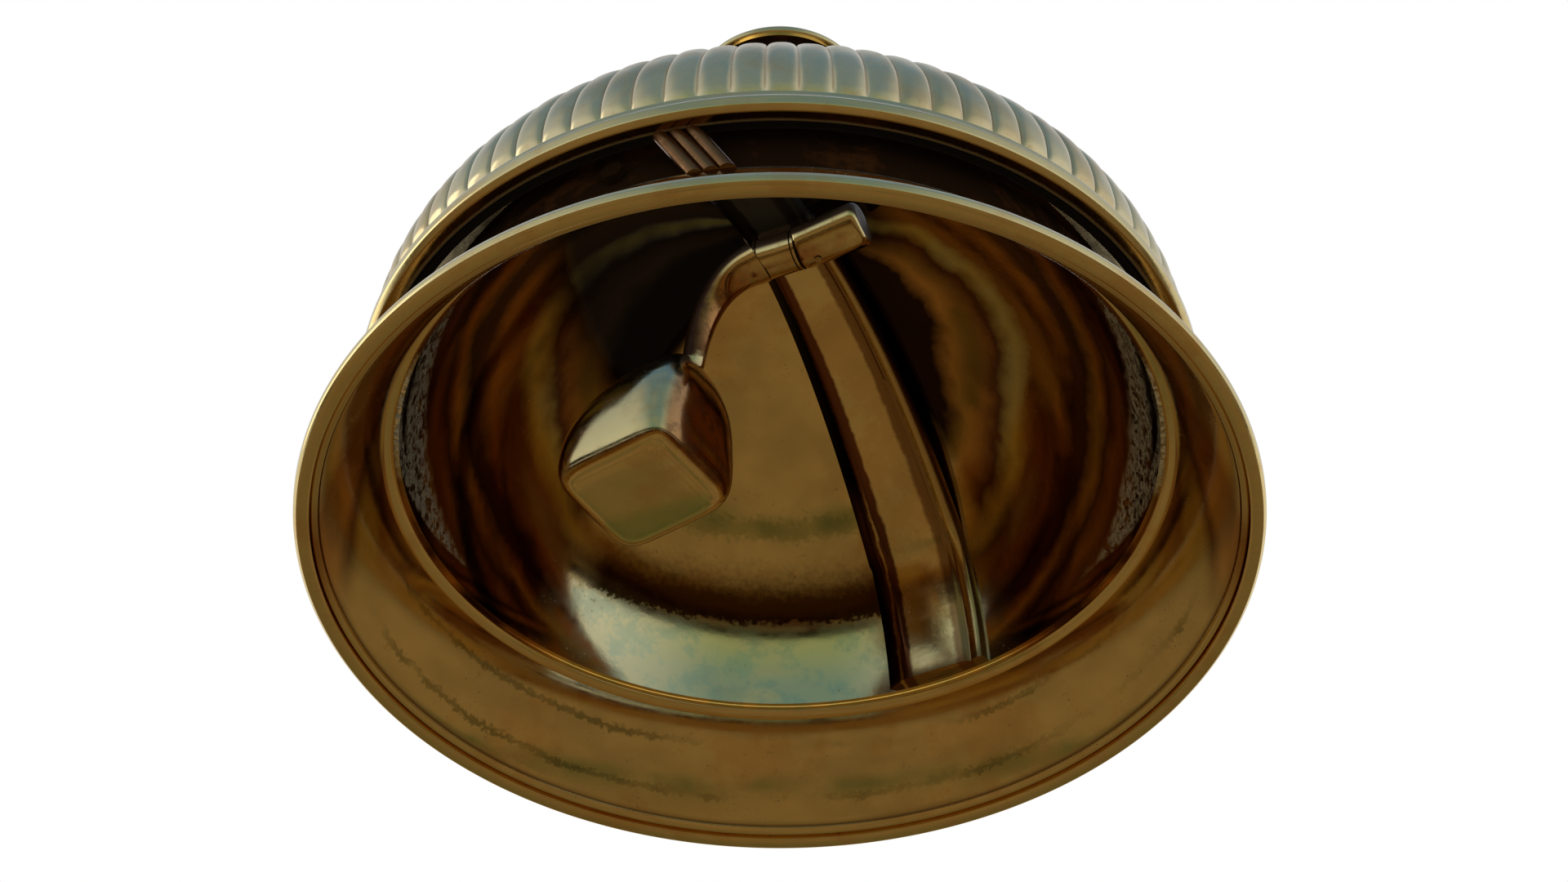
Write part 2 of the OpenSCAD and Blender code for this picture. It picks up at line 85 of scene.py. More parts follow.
class Nodes:
    """Short calls for building one node tree."""

    def __init__(self, tree):
        self.tree = tree
        tree.nodes.clear()

    def add(self, kind, **values):
        node = self.tree.nodes.new(kind)
        for key, value in values.items():
            setattr(node, key, value)
        return node

    def link(self, a, b):
        self.tree.links.new(a, b)

    def put(self, socket, value):
        if isinstance(value, bpy.types.NodeSocket):
            self.link(value, socket)
        elif isinstance(value, tuple) and len(value) == 3 and socket.type == "RGBA":
            socket.default_value = (*value, 1)
        else:
            socket.default_value = value

    def noise(self, where, scale, detail=4, roughness=0.55, distortion=0.0):
        node = self.add("ShaderNodeTexNoise")
        self.put(node.inputs["Vector"], where)
        self.put(node.inputs["Scale"], scale)
        self.put(node.inputs["Detail"], detail)
        self.put(node.inputs["Roughness"], roughness)
        self.put(node.inputs["Distortion"], distortion)
        return node.outputs["Fac"]

    def span(self, value, low, high, to_low=0.0, to_high=1.0, smooth=True):
        node = self.add("ShaderNodeMapRange", interpolation_type="SMOOTHSTEP" if smooth else "LINEAR")
        for name, v in (
            ("Value", value), ("From Min", low), ("From Max", high),
            ("To Min", to_low), ("To Max", to_high),
        ):
            self.put(node.inputs[name], v)
        return node.outputs["Result"]

    def math(self, operation, a, b=0.0, clamp=False):
        node = self.add("ShaderNodeMath", operation=operation, use_clamp=clamp)
        self.put(node.inputs[0], a)
        self.put(node.inputs[1], b)
        return node.outputs[0]

    def mix(self, factor, a, b):
        node = self.add("ShaderNodeMix", data_type="RGBA")
        self.put(node.inputs["Factor"], factor)
        self.put(node.inputs["A"], a)
        self.put(node.inputs["B"], b)
        return node.outputs["Result"]

    def ramp(self, value, low, high, stops):
        """A colour for each value between low and high; stops are (value, colour) pairs."""
        node = self.add("ShaderNodeValToRGB")
        self.put(node.inputs["Fac"], self.span(value, low, high, smooth=False))
        band = node.color_ramp.elements
        while len(band) < len(stops):
            band.new(0.5)
        for element, (at, colour) in zip(band, stops):
            element.position = (at - low) / (high - low)
        for element, (at, colour) in zip(band, stops):
            element.color = (*colour, 1)
        return node.outputs["Color"]

    def band(self, value, rise, fall):
        """1 between the rise and the fall, and 0 outside them; each is a (low, high) pair."""
        return self.math("MULTIPLY", self.span(value, *rise), self.span(value, *fall, 1.0, 0.0))

    def stir(self, value, source, amount):
        """The value moved up and down by a noise, by at most half the amount each way."""
        return self.math("ADD", value, self.math("MULTIPLY", self.math("SUBTRACT", source, 0.5), amount))

    def lay_over(self, colour, mask, share, ink):
        """The colour with a share of ink laid over it where the mask is 1: used for grime and wear, and for
        painted shade and painted reflections.
        """
        return self.mix(self.math("MULTIPLY", mask, share), colour, ink)

    def split(self, vector):
        """The X, Y and Z of a vector."""
        node = self.add("ShaderNodeSeparateXYZ")
        self.link(vector, node.inputs["Vector"])
        return node.outputs["X"], node.outputs["Y"], node.outputs["Z"]

    def facing(self):
        """The way the surface faces, as X, Y and Z of the object itself."""
        return self.split(self.add("ShaderNodeTexCoord").outputs["Normal"])

    def above_mouth(self, z):
        """Millimetres above the mouth."""
        return self.math("MULTIPLY", self.math("SUBTRACT", z, MOUTH_Z), 1 / MM)

    def from_axis(self, where):
        """Millimetres from the bell's axis."""
        flat = self.add("ShaderNodeVectorMath", operation="MULTIPLY")
        self.link(where, flat.inputs[0])
        flat.inputs[1].default_value = (1.0, 1.0, 0.0)
        length = self.add("ShaderNodeVectorMath", operation="LENGTH")
        self.link(flat.outputs["Vector"], length.inputs[0])
        return self.math("MULTIPLY", length.outputs["Value"], 1 / MM)

    def round_the_bell(self, where):
        """Degrees round from the far wall, its size without sign, and millimetres above the mouth."""
        x, y, z = self.split(where)
        c, s = math.cos(FAR_WALL_TURN), math.sin(FAR_WALL_TURN)
        ahead = self.math("ADD", self.math("MULTIPLY", x, c), self.math("MULTIPLY", y, s))
        aside = self.math("SUBTRACT", self.math("MULTIPLY", x, s), self.math("MULTIPLY", y, c))
        turn = self.math("MULTIPLY", self.math("ARCTAN2", aside, ahead), 180 / math.pi)
        return turn, self.math("ABSOLUTE", turn), self.above_mouth(z)

    def stretched(self, where, scale):
        node = self.add("ShaderNodeMapping")
        self.put(node.inputs["Vector"], where)
        node.inputs["Scale"].default_value = scale
        return node.outputs["Vector"]


# These marks stay fixed to the metal, and most are painted reflections and painted shade: each function
# takes the node builder, the place on the object, the colour so far and two noises, and returns the colour
# and how dull the metal is there.

# the middle of the far wall, straight across the bell from the camera, from +X; the painted reflections are
# laid out round it
FAR_WALL_TURN = math.radians(113.7)
# height of the points of the chevrons
CHEVRON_H = 41
# near black, painted in where shade falls
SHADE_INK = (0.004, 0.002, 0.001)

# the strap, in millimetres: its crown, thickness, sag for each y squared, width, widening and crest
STRAP_Z = 122.7
STRAP_T = 3.5
STRAP_DROP = 0.00507
STRAP_W = 23.0
STRAP_TAPER = 0.1
STRAP_TURN = math.radians(-1.5)
STRAP_CREST = 0.6


def waist_painted_light(n, where, colour, mottle, fine):
    """Painted reflections and painted shade inside the bell: dark and pale chevrons down both sides, bands
    over the far wall, near black under the crown and high on the left.
    """
    turn, size, height = n.round_the_bell(where)
    warp = n.noise(where, 14, 4, 0.6, 0.5)
    streaks = n.noise(n.stretched(where, (1.0, 1.0, 0.3)), 90, 5, 0.65)
    size = n.stir(size, warp, 22)
    over = n.math("MULTIPLY", n.math("SUBTRACT", height, CHEVRON_H), 1.15)
    under = n.math("MULTIPLY", n.math("SUBTRACT", CHEVRON_H, height), 3.0)
    chevron = n.stir(n.math("SUBTRACT", size, n.math("MAXIMUM", over, under)), streaks, 9)
    dark, amber = (0.10, 0.035, 0.012), (0.50, 0.24, 0.055)
    olive, pale = (0.62, 0.46, 0.13), (0.86, 0.72, 0.44)
    # painted reflections: dark, amber, olive and pale bands in chevrons down both sides
    swirl = n.ramp(chevron, -60, 100, [
        (-60, (0.02, 0.01, 0.005)), (-28, (0.03, 0.012, 0.006)), (-20, amber), (-12, (0.34, 0.15, 0.035)),
        (-6, dark), (1, olive), (7, (0.36, 0.17, 0.045)), (18, amber), (25, dark),
        (31, (0.06, 0.02, 0.008)), (37, amber), (43, dark), (50, (0.44, 0.20, 0.05)),
        (56, (0.30, 0.14, 0.04)), (63, pale), (78, pale), (86, dark), (100, (0.18, 0.07, 0.02)),
    ])
    # painted reflection: dark speckles along the edge of the pale band
    speckled = n.math("MULTIPLY", n.span(chevron, 58, 64), n.span(fine, 0.42, 0.60))
    swirl = n.lay_over(swirl, speckled, 0.75, dark)
    colour = n.mix(n.span(size, 33, 40), colour, swirl)

    ragged = n.stir(n.stir(height, fine, 7), mottle, 5)
    front = n.span(size, 30, 38, 1.0, 0.0)
    # painted reflection: a dark brown band across the far wall
    dark_reflection_band = n.math("MULTIPLY", n.band(ragged, (59.5, 61), (66, 80)), front)
    colour = n.lay_over(colour, dark_reflection_band, 0.97, (0.10, 0.045, 0.008))
    # painted reflection: an olive green band higher up the far wall
    green_reflection_band = n.math("MULTIPLY", n.band(ragged, (82, 85), (87, 90)), front)
    colour = n.lay_over(colour, green_reflection_band, 0.6, (0.36, 0.33, 0.11))

    # painted shade: near black high on the left side and round the crown
    up_high = n.span(n.math("ADD", height, n.math("MULTIPLY", warp, 12)), 106, 118)
    shade_mask = n.math("MULTIPLY", n.span(turn, -30, -42), up_high)
    shade_mask = n.math("MULTIPLY", shade_mask, n.span(turn, -150, -120))
    crown = n.math("MULTIPLY", n.span(height, 121, 126), n.span(size, 50, 90))
    shade_mask = n.math("MAXIMUM", shade_mask, crown)
    colour = n.lay_over(colour, shade_mask, 0.96, SHADE_INK)

    # painted reflections laid on as matt, less metallic patches: grey-green on the left and amber on the
    # right lower down, green higher up
    pale_reflection_patch = n.math("MULTIPLY", n.band(chevron, (56, 62), (76, 84)), n.span(height, 92, 70))
    green_reflection_patch = n.math("MULTIPLY", n.band(chevron, (-8, 0), (3, 8)), n.span(height, 88, 100))
    dull = n.math("MULTIPLY", pale_reflection_patch, n.span(n.noise(where, 420, 4, 0.7), 0.42, 0.56))
    green = n.math("MULTIPLY", green_reflection_patch, n.span(warp, 0.42, 0.6, 0.1, 0.6))
    dull = n.math("MULTIPLY", n.math("ADD", dull, green, clamp=True), 0.4)
    matte_reflection_colour = n.mix(n.span(turn, -5, 5), (0.22, 0.20, 0.14), (0.24, 0.17, 0.06))
    matte_reflection_colour = n.mix(green_reflection_patch, matte_reflection_colour, (0.22, 0.16, 0.03))
    colour = n.lay_over(colour, dull, 2.0, matte_reflection_colour)

    # painted reflection: a pale cream and green band over the foot of the far wall
    foot = n.math("MULTIPLY", n.span(ragged, 58, 61, 1.0, 0.0), n.span(size, 34, 44, 1.0, 0.0))
    painted_reflection = n.mix(n.span(mottle, 0.44, 0.58), (0.80, 0.66, 0.34), (0.56, 0.60, 0.36))
    colour = n.lay_over(colour, foot, 0.7, painted_reflection)
    return colour, n.math("MAXIMUM", dull, n.span(shade_mask, 0.85, 1.0, 0.0, 0.9))


def flare_streaks(n, where, colour, mottle, fine):
    """Two broken olive lines round the flare, and long brown tongues at both sides, painted reflections in
    darker and lighter bands.
    """
    _, size, height = n.round_the_bell(where)
    warp = n.noise(where, 16, 4, 0.6, 0.4)
    ragged = n.stir(n.stir(height, warp, 9), fine, 4)
    for low in (8.5, 21.5):
        line = n.band(ragged, (low - 0.8, low), (low + 0.6, low + 1.6))
        line = n.math("MULTIPLY", line, n.span(warp, 0.40, 0.62))
        colour = n.lay_over(colour, line, 0.7, (0.20, 0.17, 0.05))
    # painted reflections: dark and light brown tongues down both sides
    tongue = n.stir(n.math("SUBTRACT", size, n.math("MULTIPLY", height, 1.6)), warp, 16)
    brown = n.ramp(tongue, 20, 130, [
        (20, (0.74, 0.53, 0.24)), (34, (0.62, 0.36, 0.12)), (42, (0.32, 0.13, 0.035)),
        (48, (0.66, 0.52, 0.16)), (58, (0.58, 0.44, 0.14)), (64, (0.16, 0.06, 0.02)),
        (70, (0.55, 0.28, 0.08)), (84, (0.40, 0.18, 0.05)), (92, (0.66, 0.48, 0.20)),
        (130, (0.60, 0.42, 0.18)),
    ])
    return n.lay_over(colour, n.span(size, 68, 84), 0.9, brown), 0.0


def strap_painted_light(n, where, colour, mottle, fine):
    """Painted shade: near black on the near half and down the left flank, dark brown on the flank towards
    the foot with a painted highlight line there, and a brown band along the right side.
    """
    x, y, _ = n.split(where)
    out = n.math("MULTIPLY", n.math("ABSOLUTE", y), STRAP_TAPER / 2)
    half = n.math("ADD", out, STRAP_W / 2 * MM)
    centred = n.math("ADD", x, n.math("MULTIPLY", y, math.tan(STRAP_TURN)))
    across = n.stir(n.math("DIVIDE", centred, half), mottle, 0.16)
    foot = n.span(y, 80 * MM, 90 * MM)
    # painted shade: the left flank near black, dark brown towards the foot
    flank = n.mix(n.span(across, -0.72, -0.66), SHADE_INK, (0.16, 0.055, 0.018))
    flank = n.mix(foot, flank, (0.13, 0.045, 0.015))
    # painted highlight: a thin light line on the flank near the foot
    line = n.band(across, (-0.70, -0.66), (-0.64, -0.60))
    flank = n.lay_over(flank, n.math("MULTIPLY", line, foot), 0.8, (0.60, 0.40, 0.15))
    colour = n.mix(n.span(across, -0.46, -0.38, 1.0, 0.0), colour, flank)
    # painted shade: a brown band along the right side up to the groove
    colour = n.lay_over(colour, n.band(across, (0.40, 0.50), (0.72, 0.78)), 0.8, (0.20, 0.08, 0.025))
    # painted shade: the near half near black, and duller
    near_half = n.span(y, 2 * MM, -6 * MM)
    return n.lay_over(colour, near_half, 0.97, SHADE_INK), near_half


def clapper_painted_light(n, where, colour, mottle, fine):
    """A brown bend in the arm, painted shade in near black on faces that look up, and painted reflections:
    green on the bob's flat bottom and upper sides, brown on its sides towards +X.
    """
    _, y, z = n.split(where)
    height = n.stir(n.above_mouth(z), mottle, 12)
    brown = n.mix(n.span(mottle, 0.45, 0.6), (0.42, 0.17, 0.05), (0.22, 0.08, 0.025))
    colour = n.lay_over(colour, n.band(height, (79, 82), (106, 113)), 0.92, brown)
    face_x, _, face_z = n.facing()
    # painted shade: faces that look up, high on the clapper, near black and duller
    shaded_top = n.math("MULTIPLY", n.span(face_z, -0.30, -0.05), n.span(height, 78, 82))
    colour = n.lay_over(colour, shaded_top, 0.95, (0.05, 0.018, 0.006))
    # painted reflection: olive green on the flat bottom, stronger towards +Y
    bottom = n.span(face_z, -0.97, -0.90, 1.0, 0.0)
    painted_reflection = n.math("MULTIPLY", bottom, n.span(y, 0.0, 7 * MM, 0.1, 0.8))
    colour = n.mix(painted_reflection, colour, (0.44, 0.46, 0.16))
    # painted reflection: pale green on the upper sides of the bob
    side = n.math("MULTIPLY", n.span(face_z, -0.7, -0.5), n.span(height, 72, 79, 1.0, 0.0))
    brow = n.math("MULTIPLY", side, n.span(height, 45, 66))
    colour = n.lay_over(colour, brow, 0.7, (0.38, 0.46, 0.34))
    # painted reflection: brown on the bob's sides that face +X
    away = n.math("MULTIPLY", side, n.span(face_x, 0.60, 0.85))
    return n.lay_over(colour, away, 0.85, brown), n.math("MULTIPLY", shaded_top, 0.8)


def rim_painted_shade(n, where, colour, mottle, fine):
    """Painted shade: the underside of the canopy rim is painted brown, and black along its inner edge."""
    _, _, z = n.split(where)
    high = n.span(z, MOUTH_Z + 40 * MM, MOUTH_Z + 50 * MM)
    radius = n.math("ADD", n.from_axis(where), n.math("MULTIPLY", mottle, 0.8))
    # painted shade: black along the inner edge of the rim's underside
    inner = n.math("MULTIPLY", n.span(radius, 125.0, 127.2, 1.0, 0.0), high)
    _, _, face_z = n.facing()
    # painted shade: brown on faces that look down
    under = n.math("MULTIPLY", n.span(face_z, -0.8, -0.5, 1.0, 0.0), high)
    colour = n.lay_over(colour, under, 0.75, (0.30, 0.15, 0.04))
    return n.mix(inner, colour, SHADE_INK), inner


def new_material(name):
    material = bpy.data.materials.new(name)
    material.use_nodes = True
    return material, Nodes(material.node_tree)


# how much brighter a rubbed edge is than the clean metal
WORN_EDGE = 1.12


def metal(name, clean, warm, dirt_and_shade, rough=0.16, patches=22.0, warm_share=0.5,
          dirt_share=0.3, speckle=0.35, bump=0.25, grain=0.0, marks_and_painted_light=None, lustre=1.0):
    """Old polished metal: clean and warm patches, grime and painted shade darkening the hollows, pits, and
    a faint waviness.

    patches is how many patches of colour and grime there are to the metre, and lustre is how metallic it
    is.
    """
    material, n = new_material(name)
    where = n.add("ShaderNodeTexCoord").outputs["Object"]
    clouds = n.noise(where, patches, 5, 0.6, 0.4)
    mottle = n.noise(where, patches * 5, 6, 0.65, 0.2)
    fine = n.noise(where, patches * 28, 3, 0.6)
    pits = n.noise(where, patches * 60, 2, 0.5)
    waves = n.noise(where, patches * 1.7, 2, 0.4)

    both = n.math("ADD", n.math("MULTIPLY", clouds, 0.65), n.math("MULTIPLY", mottle, 0.35))
    warm_mask = n.span(both, 0.62 - warm_share * 0.3, 0.74 - warm_share * 0.3)
    colour = n.mix(n.math("MULTIPLY", warm_mask, 0.85), clean, warm)
    grime = n.math("ADD", n.math("MULTIPLY", mottle, 0.6), n.math("MULTIPLY", fine, 0.4))
    dirt_mask = n.span(grime, 0.60, 0.72)
    colour = n.lay_over(colour, dirt_mask, dirt_share, dirt_and_shade)

    edge = n.add("ShaderNodeNewGeometry").outputs["Pointiness"]
    # painted shade together with grime: concave places go darker, and rougher below
    hollow = n.span(edge, 0.44, 0.498, 1.0, 0.0)
    ridge = n.span(edge, 0.502, 0.56)
    colour = n.lay_over(colour, hollow, 0.75, dirt_and_shade)
    colour = n.lay_over(colour, ridge, 0.5, tuple(min(1, c * WORN_EDGE) for c in clean))
    spots = n.math("MULTIPLY", n.span(pits, 0.66, 0.72), n.span(mottle, 0.45, 0.6))
    colour = n.lay_over(colour, spots, speckle, dirt_and_shade)
    dull = 0.0
    if marks_and_painted_light:
        colour, dull = marks_and_painted_light(n, where, colour, mottle, fine)

    roughness = n.math("ADD", n.span(mottle, 0.3, 0.7, rough * 0.75, rough * 1.35),
                       n.math("MULTIPLY", n.math("ADD", dirt_mask, spots), 0.16))
    roughness = n.math("ADD", roughness, n.math("MULTIPLY", hollow, 0.12))
    roughness = n.math("ADD", roughness, n.math("MULTIPLY", dull, 0.4), clamp=True)

    height = n.math("ADD", waves, n.math("MULTIPLY", mottle, 0.22))
    height = n.math("ADD", height, n.math("MULTIPLY", fine, 0.035))
    height = n.math("SUBTRACT", height, n.math("MULTIPLY", spots, 0.02))
    if grain:
        turned = n.noise(n.stretched(where, (0.4, 0.4, 30.0)), 70, 2, 0.5)
        height = n.math("ADD", height, n.math("MULTIPLY", turned, grain))
    relief = n.add("ShaderNodeBump")
    relief.inputs["Strength"].default_value = bump
    relief.inputs["Distance"].default_value = 0.6 * MM
    n.put(relief.inputs["Height"], height)

    shader = n.add("ShaderNodeBsdfPrincipled")
    n.put(shader.inputs["Base Color"], colour)
    n.put(shader.inputs["Roughness"], roughness)
    if dull:
        n.put(shader.inputs["Metallic"], n.math("SUBTRACT", 1.0, n.math("MULTIPLY", dull, 0.85)))
    else:
        shader.inputs["Metallic"].default_value = lustre
    shader.inputs["Specular IOR Level"].default_value = 0.15 * lustre
    n.link(relief.outputs["Normal"], shader.inputs["Normal"])
    n.link(shader.outputs["BSDF"], n.add("ShaderNodeOutputMaterial").inputs["Surface"])
    return material


def felt():
    """Pressed wool: matt, with short fibres that catch the light."""
    material, n = new_material("felt")
    where = n.add("ShaderNodeTexCoord").outputs["Object"]
    fibres = n.noise(n.stretched(where, (1.0, 1.0, 3.0)), 900, 6, 0.7, 1.5)
    clumps = n.noise(where, 160, 3)
    shader = n.add("ShaderNodeBsdfPrincipled")
    colour = n.mix(n.span(fibres, 0.35, 0.65), (0.035, 0.03, 0.025), (0.11, 0.10, 0.09))
    n.put(shader.inputs["Base Color"], n.mix(n.math("MULTIPLY", clumps, 0.4), colour, (0.06, 0.045, 0.03)))
    shader.inputs["Roughness"].default_value = 0.95
    shader.inputs["Sheen Weight"].default_value = 0.3
    relief = n.add("ShaderNodeBump")
    relief.inputs["Strength"].default_value = 0.6
    relief.inputs["Distance"].default_value = 0.3 * MM
    n.put(relief.inputs["Height"], fibres)
    n.link(relief.outputs["Normal"], shader.inputs["Normal"])
    n.link(shader.outputs["BSDF"], n.add("ShaderNodeOutputMaterial").inputs["Surface"])
    return material


BRASS = (0.79, 0.59, 0.25)
HONEY = (0.74, 0.48, 0.18)
UMBER = (0.16, 0.085, 0.03)
BROWN = (0.42, 0.24, 0.09)

FLUTED = metal("fluted_brass", (0.80, 0.62, 0.32), (0.72, 0.50, 0.22), BROWN, 0.22, 18, 0.55, 0.4, 0.3, 0.2)
RIM = metal("rim_brass", BRASS, HONEY, UMBER, 0.13, 26, 0.4, 0.25, 0.4, 0.2, marks_and_painted_light=rim_painted_shade)
TURNED = metal("turned_brass", BRASS, HONEY, UMBER, 0.16, 40, 0.5, 0.3, 0.4, 0.25, grain=0.05)
SPUN = metal("spun_brass", BRASS, HONEY, UMBER, 0.11, 20, 0.45, 0.22, 0.6, 0.16, marks_and_painted_light=waist_painted_light)
FLARE = metal("flare_brass", BRASS, HONEY, UMBER, 0.12, 20, 0.45, 0.25, 0.6, 0.18, marks_and_painted_light=flare_streaks)
# near black, matt and not metallic: painted shade for the waist's outside seen through the gap, the inside
# of the top cup and the nuts
BLACK_SHADE_METAL = metal("black_shade_metal", (0.010, 0.005, 0.002), (0.035, 0.013, 0.004), (0.002, 0.001, 0.001), 0.6, 24,
               0.4, 0.6, lustre=0.0)
STRAP = metal("strap_brass", BRASS, HONEY, UMBER, 0.13, 36, 0.6, 0.35, 0.5, 0.25, marks_and_painted_light=strap_painted_light)
STAY = metal("stay_brass", (0.20, 0.10, 0.04), (0.14, 0.05, 0.015), (0.03, 0.015, 0.006), 0.3, 50, 0.5, 0.5)
CLAP = metal("clapper_brass", BRASS, HONEY, UMBER, 0.15, 36, 0.45, 0.25, 0.5, 0.3, marks_and_painted_light=clapper_painted_light)
BRONZE = metal("bush_bronze", (0.74, 0.47, 0.22), (0.66, 0.36, 0.14), UMBER, 0.28, 60, 0.5, 0.3, 0.4, 0.3)
STEEL = metal("steel", (0.56, 0.55, 0.53), (0.46, 0.43, 0.39), (0.15, 0.11, 0.08), 0.3, 60,
              0.5, 0.3, 0.4, 0.3)
FELT = felt()


# ------------------------------------------------------------------ meshes


def piece(name, points, faces, materials, body, nodes=(), sharp=38):
    """A mesh object with smooth shading that rides on body and stands for the CAD nodes."""
    mesh = bpy.data.meshes.new(name)
    mesh.from_pydata([tuple(p) for p in points], [], faces)
    mesh.validate()
    for material in materials:
        mesh.materials.append(material)
    mesh.shade_smooth()
    mesh.set_sharp_from_angle(angle=math.radians(sharp))
    made = bpy.data.objects.new(name, mesh)
    bpy.context.scene.collection.objects.link(made)
    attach(made, body)
    if nodes:
        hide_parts(*nodes)
    return made


def rounded(corners, steps=5):
    """A closed outline of (r, z, fillet) corners in millimetres, as points with each corner rounded."""
    made = []
    count = len(corners)
    for i, (r, z, fillet) in enumerate(corners):
        here = Vector((r, z))
        if not fillet:
            made.append(here)
            continue
        before = Vector(corners[i - 1][:2]) - here
        after = Vector(corners[(i + 1) % count][:2]) - here
        reach = min(fillet / math.tan(before.angle(after) / 2), before.length * 0.48, after.length * 0.48)
        start, end = here + before.normalized() * reach, here + after.normalized() * reach
        for k in range(steps + 1):
            t = k / steps
            made.append(start * (1 - t) ** 2 + here * 2 * t * (1 - t) + end * t * t)
    return made


def lathe_mesh(outline, segments=288):
    """Points and faces of a closed (r, z) outline in millimetres above the mouth, turned about the axis."""
    points, faces = [], []
    count = len(outline)
    for j in range(segments):
        a = 2 * math.pi * j / segments
        c, s = MM * math.cos(a), MM * math.sin(a)
        points += [Vector((p[0] * c, p[0] * s, MOUTH_Z + p[1] * MM)) for p in outline]
    for j in range(segments):
        here, there = j * count, (j + 1) % segments * count
        for i in range(count):
            k = (i + 1) % count
            faces.append((here + i, here + k, there + k, there + i))
    return points, outward(outline, faces)


def outward(outline, faces):
    """Turns the faces over if the outline runs the other way round."""
    area = sum(a[0] * b[1] - b[0] * a[1] for a, b in zip(outline, outline[1:] + outline[:1]))
    return [f[::-1] for f in faces] if area > 0 else faces


def lathe(name, corners, material, node, segments=288, steps=5, sharp=38):
    points, faces = lathe_mesh(rounded(corners, steps), segments)
    return piece(name, points, faces, [material], BELL, [node], sharp)


def swept_faces(rings, count):
    """Faces of a tube made of rings with count points each, with both ends closed."""
    faces = []
    for i in range(rings - 1):
        for j in range(count):
            k = (j + 1) % count
            faces.append((i * count + j, i * count + k, (i + 1) * count + k, (i + 1) * count + j))
    faces.append(tuple(range(count))[::-1])
    faces.append(tuple((rings - 1) * count + j for j in range(count)))
    return faces


def height_of(node, top=False):
    """Height of a CAD node's lower or upper end above the mouth, in millimetres."""
    return (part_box(node)[1 if top else 0].z - MOUTH_Z) / MM


def radius_of(node):
    """Outer radius of a round CAD node, in millimetres."""
    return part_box(node)[1].x / MM


# ---------------------------------------------------------------- the mouth

LIP_R = radius_of("lip_band") + 0.08
LIP_H = height_of("lip_band", True)
LIP_T = 5.0
LEDGE_R = 122.4
LEDGE_Z = height_of("ledge_ring")
FLARE_SLOPE = 0.333
FLARE_CURL = 0.01372


def flare_at(drop):
    """Inside radius of the flare at a drop below the ledge."""
    return LEDGE_R + FLARE_SLOPE * drop + FLARE_CURL * drop * drop


def make_mouth():
    inner = LIP_R - LIP_T
    lathe("lip", [
        (inner, 0.5, 0.3), (inner + 0.7, 0, 0.4), (LIP_R - 1.1, 0, 0.8), (LIP_R, 1.4, 1.4),
        (LIP_R, 3.6, 1.6), (LIP_R - 1.5, LIP_H, 1.0), (inner + 0.5, LIP_H, 0.4), (inner, LIP_H - 0.7, 0.3),
    ], RIM, "lip_band", 384)

    steps = 22
    foot_z, back_z, back_t = 3.4, 4.7, 2.2
    inside = [(flare_at((LEDGE_Z - foot_z) * i / steps), LEDGE_Z - (LEDGE_Z - foot_z) * i / steps)
              for i in range(steps + 1)]
    outside = [(flare_at((LEDGE_Z - back_z) * i / steps) + back_t, LEDGE_Z - (LEDGE_Z - back_z) * i / steps)
               for i in range(steps, 0, -1)]
    bead_r = inside[-1][0]
    bead = rounded([(bead_r + 0.2, foot_z - 0.5, 0.3), (bead_r + 1.1, 1.3, 0.7),
                    (inner - 0.9, 1.3, 0.5), (inner - 0.1, 2.2, 0)])
    outline = [Vector(p) for p in inside] + bead[:-1] + [Vector((inner, 2.2)), Vector((inner, back_z))]
    outline += [Vector(p) for p in outside] + [Vector((LEDGE_R + 1.8, LEDGE_Z + 1.3))]
    points, faces = lathe_mesh(outline, 384)
    piece("flare", points, faces, [FLARE], BELL, ["mouth_flare"], 50)

    nose = 119.5
    top = height_of("ledge_ring", True)
    lathe("ledge", [
        (nose, top, 0), (nose, LEDGE_Z + 1.2, 0.5), (nose + 1.0, LEDGE_Z + 0.25, 0.5),
        (LEDGE_R, LEDGE_Z, 0.2), (LEDGE_R + 1.7, LEDGE_Z + 1.2, 0.5), (LEDGE_R + 1.1, top, 0.3),
    ], RIM, "ledge_ring", 384)


# ----------------------------------------------------------- the inner bell

WAIST_R = 117.9
WAIST_Z = height_of("bell_waist")
WAIST_MID = 20.0
WALL = 2.4
CROWN_OUT = height_of("bell_waist", True)
CROWN_IN = CROWN_OUT - 2.6
HALF_HIGH = CROWN_IN - WAIST_MID
HALF_WIDE = WAIST_R / math.sqrt(1 - ((WAIST_Z - WAIST_MID) / HALF_HIGH) ** 2)
BORE_R = 5.1
# the part nearer than this to the viewer and higher than this isn't seen in reflections
SPLIT_AHEAD = 4
SPLIT_H = 46


def waist_at(z):
    """Inside radius of the waist at a height above the mouth, in millimetres."""
    return HALF_WIDE * math.sqrt(max(0.0, 1 - ((z - WAIST_MID) / HALF_HIGH) ** 2))


def ellipse(wide, high, t0, t1, steps):
    turns = [t0 + (t1 - t0) * i / steps for i in range(steps + 1)]
    return [Vector((wide * math.cos(t), WAIST_MID + high * math.sin(t))) for t in turns]


